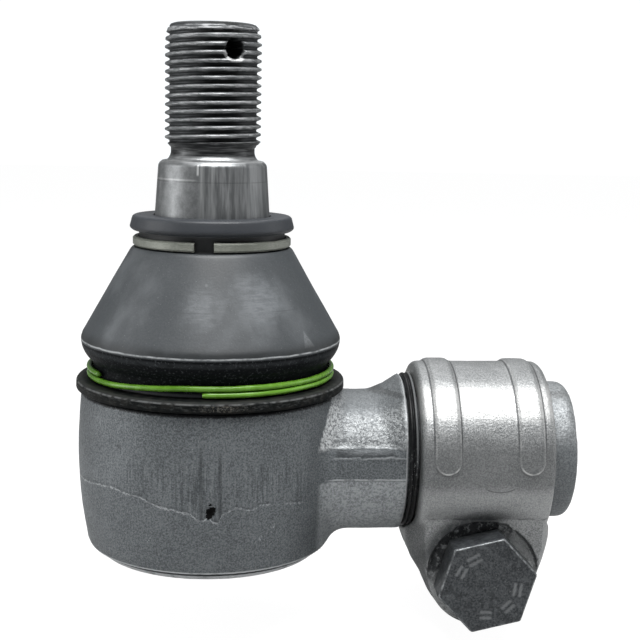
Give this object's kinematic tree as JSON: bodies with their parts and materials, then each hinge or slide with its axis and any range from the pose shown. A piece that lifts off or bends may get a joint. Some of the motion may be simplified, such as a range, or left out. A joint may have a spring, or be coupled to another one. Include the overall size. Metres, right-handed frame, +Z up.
{
  "type": "angle ball joint with clamped shank",
  "caption": "Heavy-duty angle ball joint: tapered threaded ball stud, rubber boot, forged housing, and a slotted female shank with a bolted clamp.",
  "frame": {"origin": "centre of the ball, on the axis of the shank", "axes": "+Z up the ball stud, +X along the shank and out of its open end, the clamp bolt's head on the -Y side"},
  "size_m": [0.1272, 0.0684, 0.152],
  "materials": {
    "housing_steel": "shot-blasted forging, oiled",
    "stud_steel": "ground taper and rolled thread",
    "clamp_steel": "shot-blasted bright forging",
    "bolt_black": "black phosphate",
    "boot_rubber": "matte, dusty",
    "seal_rubber": "satin",
    "ring_khaki": "satin",
    "wire_green": "gloss",
    "shell_plastic": "moulded",
    "spring_steel": "phosphated",
    "cover_steel": "pressed"
  },
  "bodies": {
    "housing": {"housing": "housing_steel", "upper_bearing_shell": "shell_plastic", "lower_bearing_shell": "shell_plastic", "preload_spring": "spring_steel", "cover_plate": "cover_steel", "cover_seal": "seal_rubber", "boot_bottom_ring": "wire_green", "shank_seal_ring": "seal_rubber", "clamp": "clamp_steel", "clamp_bolt": "bolt_black", "clamp_nut": "bolt_black"},
    "boot": {"boot": "boot_rubber"},
    "boot_ring": {"boot_top_ring": "ring_khaki"},
    "stud": {"ball_stud": "stud_steel"}
  },
  "joints": [
    {"name": "stud_tilt_side", "type": "hinge", "parent": "housing", "child": "boot", "pos_m": [0, 0, 0], "axis": [1, 0, 0], "range_deg": [-18, 18], "deforming": ["boot"]},
    {"name": "stud_tilt_shank", "type": "hinge", "parent": "boot", "child": "boot_ring", "pos_m": [0, 0, 0], "axis": [0, 1, 0], "range_deg": [-18, 18], "deforming": ["boot"]},
    {"name": "stud_spin", "type": "hinge", "parent": "boot_ring", "child": "stud", "pos_m": [0, 0, 0], "axis": [0, 0, 1], "continuous": true}
  ]
}
